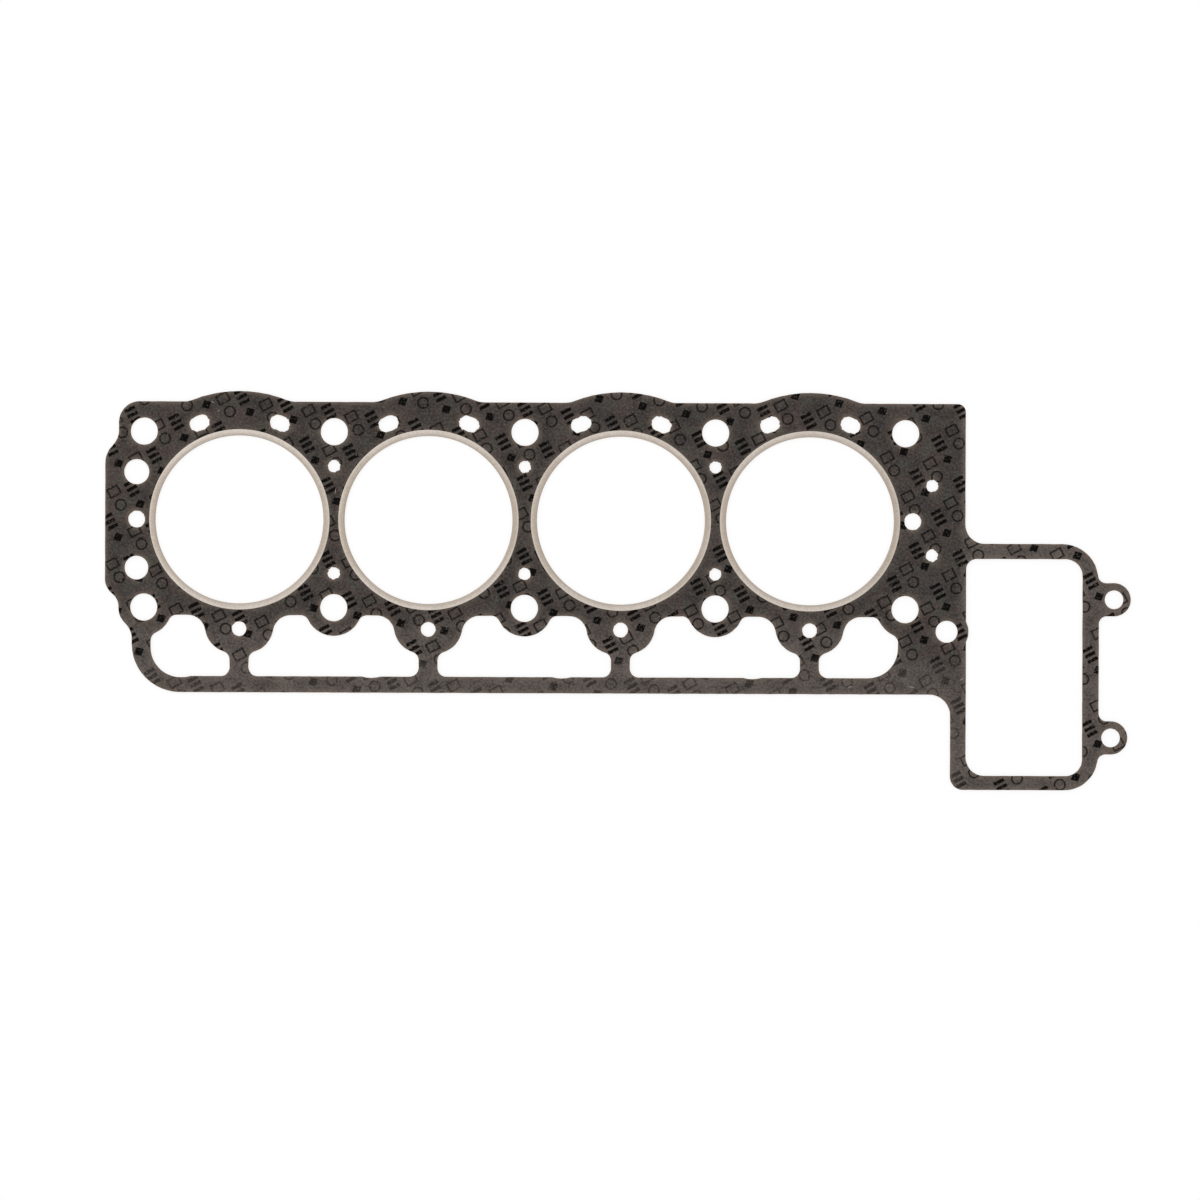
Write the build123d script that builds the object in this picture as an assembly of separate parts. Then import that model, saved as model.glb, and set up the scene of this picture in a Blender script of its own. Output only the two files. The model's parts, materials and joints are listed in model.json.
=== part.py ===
from build123d import *
from math import acos, cos, radians, sin, sqrt, tan
import os

# Sizes are in millimetres. The four bores stand in a row along X, centred between the
# head bolts. The chain case is at the +X end and the block face is at z = 0.

# Sheet and the folded rings that line its bores
sheet_thickness = 1.10
ring_metal = 0.20
ring_bore_d = 84.0
ring_flange_width = 3.10
ring_inside_bend_r = 0.20
seat_pinch = 0.05
seat_clearance = 0.10

# Strips of sheet left between neighbouring rings
end_bridge = 4.35
middle_bridge = 6.00

# Head bolts: two rows beside the bores, the end columns just past the end rings
bolt_hole_d = 13.6
bolt_row_inset = 1.10
end_bolt_gap = 2.65

# Coolant slots, a pair above each bore, lying along a circle about it
slot_width = 7.5
slot_straight = 2.8
slot_gap = 7.05
slot_angle = 22.7

# Coolant holes on the bridges and at the two ends of the bore row
bridge_hole_d = 6.2
bridge_hole_inset = 18.30
end_hole_d = 8.5
end_hole_gap = 6.35
upper_port_d = 12.6
upper_port_rise = 23.7
lower_port_d = 11.9
lower_port_drop = 24.3
side_hole_d = 6.2
side_hole_inset = 16.65
side_hole_spread = 34.8
side_hole_lift = 0.5

# Top edge, scalloped about the bores
top_land = 14.9
top_corner_r = 10.3
scallop_rise = 5.30
scallop_foot_r = 11.0

# Left end: a broad shoulder that steps in at both bolt rows and again at the rail
shoulder_land = 19.4
shoulder_step = 6.80
upper_step_drop = 7.45
upper_step_height = 6.90
upper_step_inner_r = 10.9
upper_step_outer_r = 12.8
lower_step_rise = 6.80
lower_step_height = 5.10
lower_step_outer_r = 9.7
lower_step_inner_r = 8.0
rail_step_drop = 8.15
rail_step_height = 6.30
rail_step_outer_r = 11.0
rail_step_inner_r = 10.8
rail_end_land = 5.90

# Five oil return windows between the bore row and the bottom rail
window_gap = 2.70
oil_hole_d = 7.4
oil_hole_gap = 9.60
oil_boss_rise = 1.50
oil_boss_r = 13.5
oil_boss_straight = 7.2
rib_width = 9.4
rib_length = 11.7
bolt_boss_rim = 7.30
end_wall_inset = 3.45
rail_width = 8.05
rail_corner_r = 24.2
window_end_r = 15.0
window_end_wall_r = 4.5
oil_boss_corner_r = 9.0
bolt_boss_corner_r = 4.3
rib_top_r = 4.3
rib_foot_r = 4.5
rail_dip_offset = 18.8
rail_dip_depth = 0.65
rail_dip_r = 17.8

# Chain case frame at the right end
right_land = 30.0
right_corner_r = 4.0
frame_drop = 10.95
frame_joint_r = 9.6
frame_top_width = 7.55
frame_right_width = 8.10
frame_bottom_width = 7.05
frame_left_width = 7.70
frame_top_corner_r = 18.0
frame_bottom_corner_r = 16.7
frame_heel_r = 6.4
frame_top_taper = 2.5
frame_bottom_taper = 2.9
rail_joint_r = 10.6
chain_window_step = 0.45
chain_window_width = 58.35
chain_window_height = 108.5
chain_top_left_r = 5.4
chain_top_right_r = 8.5
chain_bottom_left_r = 9.3
chain_bottom_right_r = 8.4

# Bolt hole beside the chain window, with a boss that swells into the window
side_bolt_hole_d = 11.0
side_bolt_inset = 9.65
side_bolt_drop = 11.0
side_bolt_swell = 1.25
side_bolt_foot_r = 3.0

# Ears for the two chain case bolts
ear_hole_d = 9.4
ear_rim = 3.60
ear_neck_r = 4.0
upper_ear_reach = 7.60
upper_ear_drop = 27.75
lower_ear_reach = 6.10
lower_ear_rise = 26.25

# Places that follow from the sizes above
ring_r = ring_bore_d / 2 + ring_flange_width
inner_bore_x = ring_r + middle_bridge / 2
outer_bore_x = inner_bore_x + 2 * ring_r + end_bridge
bore_xs = [-outer_bore_x, -inner_bore_x, inner_bore_x, outer_bore_x]
bolt_row = ring_r - bolt_row_inset
end_bolt_x = outer_bore_x + ring_r + end_bolt_gap
bridge_x = (inner_bore_x + outer_bore_x) / 2
bolt_xs = [-end_bolt_x, -bridge_x, 0, bridge_x, end_bolt_x]
bridge_xs = bolt_xs[1:-1]
end_hole_x = outer_bore_x + ring_r + end_hole_gap

ring_height = sheet_thickness - 2 * seat_pinch + 2 * ring_metal
ring_bend_r = ring_inside_bend_r + ring_metal
sheet_base = ring_metal - seat_pinch
sheet_bore_r = ring_bore_d / 2 + ring_bend_r + seat_clearance

top_edge = bolt_row + top_land
scallop_r = top_edge + scallop_rise
shoulder_x = -end_bolt_x - shoulder_land
upper_end_x = shoulder_x + shoulder_step
rail_end_x = -end_bolt_x - rail_end_land
right_edge = end_bolt_x + right_land

window_top = -ring_r - window_gap
oil_hole_y = -ring_r - oil_hole_gap
oil_boss_y = oil_hole_y + oil_boss_rise
rail_inner = oil_boss_y - oil_boss_r - rib_length
rail_outer = rail_inner - rail_width
bolt_boss_r = bolt_hole_d / 2 + bolt_boss_rim
end_wall_x = end_bolt_x - end_wall_inset

chain_left = right_edge + chain_window_step
chain_right = chain_left + chain_window_width
frame_top = -frame_drop
chain_top = frame_top - frame_top_width
chain_bottom = chain_top - chain_window_height
frame_bottom = chain_bottom - frame_bottom_width
frame_left = chain_left - frame_left_width
frame_right = chain_right + frame_right_width
side_bolt_x = chain_left - side_bolt_inset
side_bolt_y = -bolt_row - side_bolt_drop
side_boss_r = side_bolt_inset + side_bolt_swell
ear_r = ear_hole_d / 2 + ear_rim
upper_ear = (frame_right + upper_ear_reach, frame_top - upper_ear_drop)
lower_ear = (frame_right + lower_ear_reach, frame_bottom + lower_ear_rise)

snap = 0.001

# Share of a straight edge that roundings at its ends may use up
land_use = 0.98


def rounded_face(corners):
    """Face with straight sides between (x, y, radius) corners, each rounded by a tangent arc.

    Two roundings that would pass each other on a short side are eased to share it.
    """
    points = [Vector(x, y) for x, y, _ in corners]
    count = len(points)
    sides = [points[(i + 1) % count] - points[i] for i in range(count)]
    turns = [sides[i - 1].get_angle(sides[i]) for i in range(count)]
    reach = [corners[i][2] * tan(radians(turns[i] / 2)) for i in range(count)]
    room = []
    for i in range(count):
        wanted = max(reach[i] + reach[(i + 1) % count], snap)
        room.append(min(1, sides[i].length / wanted))
    cuts = [reach[i] * min(room[i - 1], room[i]) for i in range(count)]

    edges = []
    for i in range(count):
        before = points[i] - sides[i - 1].normalized() * cuts[i]
        after = points[i] + sides[i].normalized() * cuts[i]
        following = (i + 1) % count
        side_end = points[following] - sides[i].normalized() * cuts[following]
        if cuts[i] > snap:
            edges.append(TangentArc(before, after, tangent=sides[i - 1]))
        if (side_end - after).length > snap:
            edges.append(Line(after, side_end))
    return make_face(edges)


def round_corners(face, radius, chosen):
    """Fillets the vertices of a face that the function chosen picks out."""
    return fillet([v for v in face.vertices() if chosen(v)], radius)


def boss_corners(span):
    """Radii that round the oil boss and the bolt boss into the top edge of a window.

    The bosses stand span apart. Where the edge between them is too short for both
    roundings, each keeps its share of it.
    """
    bosses = [
        (oil_boss_r, oil_boss_y - window_top, oil_boss_corner_r),
        (bolt_boss_r, -bolt_row - window_top, bolt_boss_corner_r),
    ]
    feet = [sqrt(boss_r ** 2 - rise ** 2) for boss_r, rise, _ in bosses]
    wanted = []
    for foot, (boss_r, rise, radius) in zip(feet, bosses):
        wanted.append(sqrt(foot ** 2 + 2 * radius * (boss_r - rise)) - foot)
    land = span - oil_boss_straight / 2 - sum(feet)
    share = min(1, land_use * land / sum(wanted))
    radii = []
    for foot, length, (boss_r, rise, _) in zip(feet, wanted, bosses):
        reach = foot + share * length
        radii.append((reach ** 2 - foot ** 2) / (2 * (boss_r - rise)))
    return radii


def scallop(x):
    """Corners of one scallop, right to left: foot, crest about the bore, foot."""
    lean = acos((top_edge + scallop_foot_r) / (scallop_r + scallop_foot_r))
    crest = scallop_r / cos(lean)
    half_width = (crest - top_edge) / tan(lean)
    return [
        (x + half_width, top_edge, scallop_foot_r),
        (x, crest, scallop_r),
        (x - half_width, top_edge, scallop_foot_r),
    ]


def step(x_above, x_below, middle_y, height, upper_r, lower_r):
    """Corners of a sloping step down the left end, from one upright edge to the next."""
    return [
        (x_above, middle_y + height / 2, upper_r),
        (x_below, middle_y - height / 2, lower_r),
    ]


def ear(place):
    """Corners of one round ear on the right side of the frame, from its lower neck upwards."""
    x, y = place
    return [
        (frame_right, y - ear_r, ear_neck_r),
        (x + ear_r, y - ear_r, ear_r),
        (x + ear_r, y + ear_r, ear_r),
        (frame_right, y + ear_r, ear_neck_r),
    ]


def outline():
    """Outer edge of the sheet with the chain case frame, counter-clockwise from the top right."""
    corners = [(right_edge, top_edge, right_corner_r)]
    for x in reversed(bore_xs):
        corners += scallop(x)
    corners.append((upper_end_x, top_edge, top_corner_r))
    corners += step(
        upper_end_x, shoulder_x, bolt_row - upper_step_drop, upper_step_height,
        upper_step_inner_r, upper_step_outer_r,
    )
    corners += step(
        shoulder_x, upper_end_x, lower_step_rise - bolt_row, lower_step_height,
        lower_step_outer_r, lower_step_inner_r,
    )
    corners += step(
        upper_end_x, rail_end_x, -bolt_row - rail_step_drop, rail_step_height,
        rail_step_outer_r, rail_step_inner_r,
    )
    corners += [
        (rail_end_x, rail_outer, rail_corner_r),
        (frame_left, rail_outer, rail_joint_r),
        (frame_left, frame_bottom, frame_heel_r),
        (frame_right - frame_bottom_taper, frame_bottom, frame_bottom_corner_r),
    ]
    corners += ear(lower_ear) + ear(upper_ear)
    corners += [
        (frame_right - frame_top_taper, frame_top, frame_top_corner_r),
        (right_edge, frame_top, frame_joint_r),
    ]
    return rounded_face(corners)


def oil_window(index):
    """One oil return window, with the bosses of its bolt and of its ribs left standing in it."""
    bolt_x = bolt_xs[index]
    has_left_rib = index > 0
    has_right_rib = index < len(bore_xs)
    left = bore_xs[index - 1] + rib_width / 2 if has_left_rib else -end_wall_x
    right = bore_xs[index] - rib_width / 2 if has_right_rib else end_wall_x
    middle = Pos((left + right) / 2, (window_top + rail_inner) / 2)
    window = middle * Rectangle(right - left, window_top - rail_inner)
    window -= Pos(bolt_x, -bolt_row) * Circle(bolt_boss_r)
    neighbours = bore_xs[max(index - 1, 0):index + 1]
    for x in neighbours:
        window -= Pos(x, oil_boss_y) * SlotCenterToCenter(oil_boss_straight, 2 * oil_boss_r)

    def on_top(v):
        return abs(v.Y - window_top) < snap

    def on_rail(v):
        return abs(v.Y - rail_inner) < snap

    def by_bolt(v):
        return abs(v.X - bolt_x) < bolt_boss_r

    def on_end_wall(v):
        return abs(abs(v.X) - end_wall_x) < snap

    def on_rib(v):
        return min(abs(v.X - left), abs(v.X - right)) < snap and not on_end_wall(v)

    def by_rib_boss(v):
        return v.Y > oil_boss_y - oil_boss_r

    oil_corner_r, bolt_corner_r = boss_corners(min(abs(x - bolt_x) for x in neighbours))
    window = round_corners(window, oil_corner_r, lambda v: on_top(v) and not by_bolt(v))
    window = round_corners(window, bolt_corner_r, lambda v: on_top(v) and by_bolt(v))
    window = round_corners(window, rib_top_r, lambda v: on_rib(v) and not on_rail(v))
    window = round_corners(window, rib_foot_r, lambda v: on_rib(v) and on_rail(v))
    dip_x = bolt_x + rail_dip_offset
    end_r = window_end_r
    if has_right_rib:
        window += rail_dip(dip_x)
    if not has_left_rib:
        # the first window's dip runs on into its rounded end
        window += Pos((left + dip_x) / 2, rail_inner) * Rectangle(dip_x - left, 2 * rail_dip_depth)
        end_r = min(window_end_r, land_use * (dip_x - left))
    if has_left_rib and has_right_rib:
        return window
    window = round_corners(window, window_end_wall_r, lambda v: on_end_wall(v) and by_rib_boss(v))
    return round_corners(window, end_r, lambda v: on_end_wall(v) and v.Y < rail_inner + snap)


def rail_dip(x):
    """Shallow hollow in the rail's inner edge."""
    hollow = Pos(x, rail_inner - rail_dip_depth + rail_dip_r) * Circle(rail_dip_r)
    return hollow & Pos(x, rail_inner) * Rectangle(2 * rail_dip_r, 2 * rail_dip_depth)


def chain_window():
    """Window of the chain case, with the side bolt's boss swelling into it."""
    window = rounded_face([
        (chain_left, chain_top, chain_top_left_r),
        (chain_left, chain_bottom, chain_bottom_left_r),
        (chain_right, chain_bottom, chain_bottom_right_r),
        (chain_right, chain_top, chain_top_right_r),
    ])
    window -= Pos(side_bolt_x, side_bolt_y) * Circle(side_boss_r)
    return round_corners(
        window, side_bolt_foot_r,
        lambda v: abs(v.X - chain_left) < snap and abs(v.Y - side_bolt_y) < side_boss_r,
    )


def round_holes():
    """Every round hole of the sheet except the bores."""
    holes = [(x, y, bolt_hole_d) for x in bolt_xs for y in (bolt_row, -bolt_row)]
    for x in bridge_xs:
        holes.append((x, ring_r - bridge_hole_inset, bridge_hole_d))
        holes.append((x, bridge_hole_inset - ring_r, bridge_hole_d))
    holes += [(x, oil_hole_y, oil_hole_d) for x in bore_xs]
    holes += [(x, 0, end_hole_d) for x in (-end_hole_x, end_hole_x)]
    holes.append((-end_hole_x, upper_port_rise, upper_port_d))
    holes.append((-end_hole_x, -lower_port_drop, lower_port_d))
    for side in (1, -1):
        y = side_hole_lift + side * side_hole_spread / 2
        holes.append((right_edge - side_hole_inset, y, side_hole_d))
    holes.append((side_bolt_x, side_bolt_y, side_bolt_hole_d))
    holes += [(x, y, ear_hole_d) for x, y in (upper_ear, lower_ear)]
    return [Pos(x, y) * Circle(d / 2) for x, y, d in holes]


def coolant_slots():
    """Two slots above each bore, each lying along the circle about the bore."""
    slots = []
    slot_circle_r = ring_r + slot_gap
    for x in bore_xs:
        for lean in (slot_angle, -slot_angle):
            place = Pos(x + slot_circle_r * sin(radians(lean)), slot_circle_r * cos(radians(lean)))
            slots.append(place * Rot(0, 0, -lean) * SlotCenterToCenter(slot_straight, slot_width))
    return slots


def gasket_sheet():
    """Punched sheet, pressed thinner on both faces where the ring flanges grip it."""
    bores = [Pos(x, 0) * Circle(sheet_bore_r) for x in bore_xs]
    windows = [oil_window(i) for i in range(len(bolt_xs))]
    blank = outline() - (bores + windows + [chain_window()] + round_holes() + coolant_slots())
    sheet = Pos(0, 0, sheet_base) * extrude(blank, sheet_thickness)
    seat = extrude(Circle(ring_r + seat_clearance), seat_pinch)
    faces = (sheet_base, sheet_base + sheet_thickness - seat_pinch)
    return sheet - [Pos(x, 0, z) * seat for x in bore_xs for z in faces]


def fire_ring():
    """Folded ring of U section about Z: a bore wall with a flat flange at each end."""
    wall = ring_bore_d / 2
    section = rounded_face([
        (wall, 0, ring_bend_r),
        (ring_r, 0, 0),
        (ring_r, ring_metal, 0),
        (wall + ring_metal, ring_metal, ring_inside_bend_r),
        (wall + ring_metal, ring_height - ring_metal, ring_inside_bend_r),
        (ring_r, ring_height - ring_metal, 0),
        (ring_r, ring_height, 0),
        (wall, ring_height, ring_bend_r),
    ])
    return revolve(Plane.XZ * section, Axis.Z)


os.makedirs("parts", exist_ok=True)
export_step(gasket_sheet(), "parts/gasket_sheet.step")
ring = fire_ring()
for number, bore_x in enumerate(bore_xs, start=1):
    export_step(Pos(bore_x, 0, 0) * ring, f"parts/fire_ring_{number}.step")
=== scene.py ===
"""Dresses the cylinder head gasket: its punched sheet, its bore rings, and the studio around them."""

import json
import logging
import math
from collections.abc import Iterator
from contextlib import contextmanager
from dataclasses import dataclass, field
from enum import Enum

import bmesh
import bpy
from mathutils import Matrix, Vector
from mathutils.bvhtree import BVHTree

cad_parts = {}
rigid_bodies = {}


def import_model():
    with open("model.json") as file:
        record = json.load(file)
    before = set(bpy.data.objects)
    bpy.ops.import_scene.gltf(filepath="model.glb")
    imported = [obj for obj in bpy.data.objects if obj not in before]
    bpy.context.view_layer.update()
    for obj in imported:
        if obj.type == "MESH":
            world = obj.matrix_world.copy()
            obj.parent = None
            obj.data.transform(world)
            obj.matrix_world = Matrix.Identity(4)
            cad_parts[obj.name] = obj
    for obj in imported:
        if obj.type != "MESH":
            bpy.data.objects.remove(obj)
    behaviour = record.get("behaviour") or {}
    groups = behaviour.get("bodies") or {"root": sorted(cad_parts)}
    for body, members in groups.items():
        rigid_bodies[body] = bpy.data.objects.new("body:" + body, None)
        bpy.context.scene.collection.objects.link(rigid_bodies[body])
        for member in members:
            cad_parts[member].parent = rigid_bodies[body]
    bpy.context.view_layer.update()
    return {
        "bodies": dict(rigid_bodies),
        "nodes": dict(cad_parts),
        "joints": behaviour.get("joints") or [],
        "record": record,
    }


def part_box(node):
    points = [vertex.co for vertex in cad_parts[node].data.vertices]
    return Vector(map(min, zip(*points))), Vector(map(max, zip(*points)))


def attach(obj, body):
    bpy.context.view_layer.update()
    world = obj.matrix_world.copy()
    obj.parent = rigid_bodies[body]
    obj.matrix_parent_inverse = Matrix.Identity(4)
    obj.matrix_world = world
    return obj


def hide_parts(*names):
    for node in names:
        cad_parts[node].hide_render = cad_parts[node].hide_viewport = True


LOG = logging.getLogger("gasket")
MM = 0.001
BODY = "root"

Colour = tuple[float, float, float]
Linear = tuple[float, float, float, float]
Pair = tuple[float, float]


class Face(Enum):
    """The two flat faces of the sheet, by the way each one looks."""

    HEAD = 1
    BLOCK = -1


class Rim(Enum):
    """The kinds of cut edge that the sheet has."""

    OUTLINE = "outline"
    WIDE_HOLE = "wide hole"
    ROUND_HOLE = "round hole"
    SMALL_HOLE = "small hole"
    SEAT = "seat"


def grey(level: float) -> Linear:
    """Is a linear grey of one level, with an alpha of 1."""
    return (level, level, level, 1.0)


def linear(colour: Colour) -> Linear:
    """Turns a screen colour into the linear colour that a shader takes.

    Args:
        colour: Red, green and blue from 0 to 255, as a screen shows them.

    Returns:
        Linear red, green, blue and an alpha of 1.
    """
    parts = []
    for value in colour:
        level = value / 255
        parts.append(level / 12.92 if level <= 0.04045 else ((level + 0.055) / 1.055) ** 2.4)
    return (*parts, 1.0)


class Term:
    """A shader value that is written in Python sums, each step of which adds a Math node."""

    def __init__(self, graph: "ShaderGraph", socket: bpy.types.NodeSocket) -> None:
        """Wraps an output socket of a graph."""
        self.graph = graph
        self.socket = socket

    def __add__(self, other: "Term | float") -> "Term":
        """Adds a value."""
        return self.graph.math("ADD", self, other)

    def __radd__(self, other: float) -> "Term":
        """Is added to a number."""
        return self.graph.math("ADD", other, self)

    def __sub__(self, other: "Term | float") -> "Term":
        """Takes a value away."""
        return self.graph.math("SUBTRACT", self, other)

    def __rsub__(self, other: float) -> "Term":
        """Is taken away from a number."""
        return self.graph.math("SUBTRACT", other, self)

    def __mul__(self, other: "Term | float") -> "Term":
        """Multiplies by a value."""
        return self.graph.math("MULTIPLY", self, other)

    def __rmul__(self, other: float) -> "Term":
        """Multiplies a number."""
        return self.graph.math("MULTIPLY", other, self)

    def __truediv__(self, other: "Term | float") -> "Term":
        """Divides by a value."""
        return self.graph.math("DIVIDE", self, other)

    def __mod__(self, other: "Term | float") -> "Term":
        """Is what is left over after whole lots of a value."""
        return self.graph.math("FLOORED_MODULO", self, other)

    def __pow__(self, other: float) -> "Term":
        """Is raised to a power."""
        return self.graph.math("POWER", self, other)

    def __abs__(self) -> "Term":
        """Is the value without its sign."""
        return self.graph.math("ABSOLUTE", self)

    def __floor__(self) -> "Term":
        """Is the whole number at or below the value."""
        return self.graph.math("FLOOR", self)

    def most(self, other: "Term | float") -> "Term":
        """Is the larger of two values."""
        return self.graph.math("MAXIMUM", self, other)

    def least(self, other: "Term | float") -> "Term":
        """Is the smaller of two values."""
        return self.graph.math("MINIMUM", self, other)


class ShaderGraph:
    """The node tree of a material or a world."""

    def __init__(self, tree: bpy.types.NodeTree) -> None:
        """Starts on an empty tree."""
        self.tree = tree
        tree.nodes.clear()

    def add(
        self,
        kind: str,
        settings: dict[str, object] | None = None,
        sockets: dict[str | int, object] | None = None,
    ) -> bpy.types.Node:
        """Adds one node.

        Args:
            kind: The node's type.
            settings: Values of the node's own settings, which are set first.
            sockets: Values or links of its input sockets, by name or place.

        Returns:
            The node.
        """
        node = self.tree.nodes.new(kind)
        for name, value in (settings or {}).items():
            setattr(node, name, value)
        for key, value in (sockets or {}).items():
            source = value.socket if isinstance(value, Term) else value
            if isinstance(source, bpy.types.NodeSocket):
                self.tree.links.new(source, node.inputs[key])
            else:
                node.inputs[key].default_value = source
        return node

    def math(self, operation: str, *values: Term | float) -> Term:
        """Adds a Math node.

        Args:
            operation: What the node does.
            values: The values or numbers that it does it to.

        Returns:
            The node's result.
        """
        node = self.add("ShaderNodeMath", {"operation": operation}, dict(enumerate(values)))
        return Term(self, node.outputs[0])

    def millimetres(self, centre: Vector) -> bpy.types.NodeSocket:
        """Gives a place on the piece in millimetres from a centre.

        Args:
            centre: The centre, in metres.

        Returns:
            The place's socket.
        """
        place = self.add("ShaderNodeTexCoord").outputs["Object"]
        moved = self.add("ShaderNodeMapping", {"vector_type": "TEXTURE"},
                         {"Vector": place, "Location": centre})
        return self.scaled(moved.outputs[0], 1 / MM)

    def scaled(self, vector: bpy.types.NodeSocket, share: Term | float) -> bpy.types.NodeSocket:
        """Multiplies a vector or a colour by a value."""
        node = self.add("ShaderNodeVectorMath", {"operation": "SCALE"}, {"Vector": vector, "Scale": share})
        return node.outputs[0]

    def parts(self, vector: bpy.types.NodeSocket) -> tuple[Term, Term, Term]:
        """Splits a vector into its three values."""
        node = self.add("ShaderNodeSeparateXYZ", sockets={0: vector})
        return tuple(Term(self, output) for output in node.outputs)

    def vector(self, x: Term | float, y: Term | float, z: Term | float) -> bpy.types.NodeSocket:
        """Joins three values into a vector."""
        return self.add("ShaderNodeCombineXYZ", sockets={0: x, 1: y, 2: z}).outputs[0]

    def noise(self, place: bpy.types.NodeSocket, size: float, detail: float) -> Term:
        """Adds cloudy noise.

        Args:
            place: The place that the noise is read at.
            size: The size of its patches, in the units of the place.
            detail: How many finer layers it has.

        Returns:
            The noise, which lies about 0.5.
        """
        sockets = {"Vector": place, "Scale": 1 / size, "Detail": detail}
        node = self.add("ShaderNodeTexNoise", sockets=sockets)
        return Term(self, node.outputs[0])

    def ramp(self, value: Term, low: float, high: float) -> Term:
        """Goes smoothly from 0 to 1 as a value goes from low to high, which may be the lower one."""
        node = self.add("ShaderNodeMapRange", {"interpolation_type": "SMOOTHSTEP"},
                        {"Value": value, "From Min": low, "From Max": high})
        return Term(self, node.outputs[0])

    def blend(self, share: Term, start: object, end: object) -> bpy.types.NodeSocket:
        """Mixes two colours.

        Args:
            share: How much of the end colour there is.
            start: The first colour or its socket.
            end: The second colour or its socket.

        Returns:
            The mixed colour's socket.
        """
        node = self.add("ShaderNodeMix", {"data_type": "RGBA"}, {0: share, 6: start, 7: end})
        return node.outputs[2]

    def surface(self, colour: bpy.types.NodeSocket, roughness: Term, height: Term,
                depth: float, constants: dict[str, object]) -> None:
        """Ends a material in one shader.

        Args:
            colour: The base colour's socket.
            roughness: The roughness.
            height: The height of the fine relief, from 0 to 1.
            depth: How deep the relief is, in metres.
            constants: Values of the shader's other sockets.
        """
        bump = self.add("ShaderNodeBump", sockets={"Height": height, "Distance": depth, "Strength": 1.0})
        shader = self.add("ShaderNodeBsdfPrincipled", sockets={
            "Base Color": colour, "Roughness": roughness, "Normal": bump.outputs[0], **constants})
        self.add("ShaderNodeOutputMaterial", sockets={"Surface": shader.outputs[0]})


def new_material(name: str) -> tuple[bpy.types.Material, ShaderGraph]:
    """Makes an empty material.

    Args:
        name: The material's name.

    Returns:
        The material and the graph of its nodes.
    """
    material = bpy.data.materials.new(name)
    material.use_nodes = True
    return material, ShaderGraph(material.node_tree)


@dataclass(frozen=True)
class StampedMarks:
    """Plain marks stamped in slanting rows on the head face.

    Sizes are in millimetres.
    """

    lean: float = math.radians(-62)
    pitch: float = 17.5
    stagger: float = 9.5
    lot: float = 23.0
    bar_first: float = -8.2
    bar_step: float = 3.0
    bar_count: int = 3
    bar_width: float = 1.75
    tall: float = 5.6
    lozenge_at: float = 3.6
    lozenge_width: float = 5.0
    lozenge_slope: float = 0.6
    line: float = 0.9
    outline_step: float = 7.4
    ring_radius: float = 2.6
    box_width: float = 4.4
    turns: int = 3
    blur: float = 0.16

    def rows(self, x: Term, y: Term, shift: float) -> tuple[Term, Term]:
        """Lays the slanting rows over the sheet.

        Args:
            x: Place along the sheet.
            y: Place across it.
            shift: How far the rows are moved across themselves.

        Returns:
            Place along a row, and place across it.
        """
        along = x * math.cos(self.lean) + y * math.sin(self.lean)
        across = y * math.cos(self.lean) - x * math.sin(self.lean) + shift
        row = math.floor(across / self.pitch)
        return along + row * self.stagger, across % self.pitch - self.pitch / 2

    def filled(self, graph: ShaderGraph, distance: Term) -> Term:
        """Is 1 inside a shape, where the distance is below 0."""
        return graph.ramp(distance, self.blur, -self.blur)

    def solid(self, graph: ShaderGraph, x: Term, y: Term) -> Term:
        """Draws the filled marks: strokes side by side and a lozenge after them.

        Args:
            graph: The material's graph.
            x: Place along the sheet.
            y: Place across it.

        Returns:
            1 on the marks and 0 off them.
        """
        along, across = self.rows(x, y, 0.0)
        spot = along % self.lot - self.lot / 2
        high = abs(across) - self.tall / 2
        first = self.bar_first - self.bar_step / 2
        last = first + self.bar_step * self.bar_count
        stroke = abs((spot - first) % self.bar_step - self.bar_step / 2) - self.bar_width / 2
        inside = abs(spot - (first + last) / 2) - (last - first) / 2
        strokes = self.filled(graph, stroke.most(high).most(inside))
        slope = abs(spot - self.lozenge_at) * (self.tall / self.lozenge_width)
        lozenge = self.filled(graph, (slope + abs(across) - self.tall / 2) * self.lozenge_slope)
        return strokes.most(lozenge)

    def outlined(self, graph: ShaderGraph, x: Term, y: Term) -> Term:
        """Draws the open marks between those rows, by turns: a ring, a gap and a box.

        Args:
            graph: The material's graph.
            x: Place along the sheet.
            y: Place across it.

        Returns:
            1 on the lines and 0 off them.
        """
        along, across = self.rows(x, y, self.pitch / 2)
        spot = along % self.outline_step - self.outline_step / 2
        turn = math.floor(along / self.outline_step) % self.turns
        reach = graph.math("SQRT", spot * spot + across * across)
        ring = self.filled(graph, abs(reach - self.ring_radius) - self.line / 2)
        edge = (abs(spot) - self.box_width / 2).most(abs(across) - self.tall / 2)
        box = self.filled(graph, abs(edge) - self.line / 2)
        ring_here = graph.math("LESS_THAN", turn, 0.5)
        box_here = graph.math("GREATER_THAN", turn, 1.5)
        return ring * ring_here + box * box_here


@dataclass(frozen=True)
class Scratch:
    """A short pale scuff on the sheet: its place and size in millimetres, and its angle in degrees."""

    x: float
    y: float
    angle: float
    length: float
    width: float = 0.35


@dataclass(frozen=True)
class BoardSpot:
    """A spot on the sheet: its place in millimetres, and noise of four sizes there."""

    x: Term
    y: Term
    z: Term
    cloud: Term
    patch: Term
    grain: Term
    fibre: Term


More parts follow.
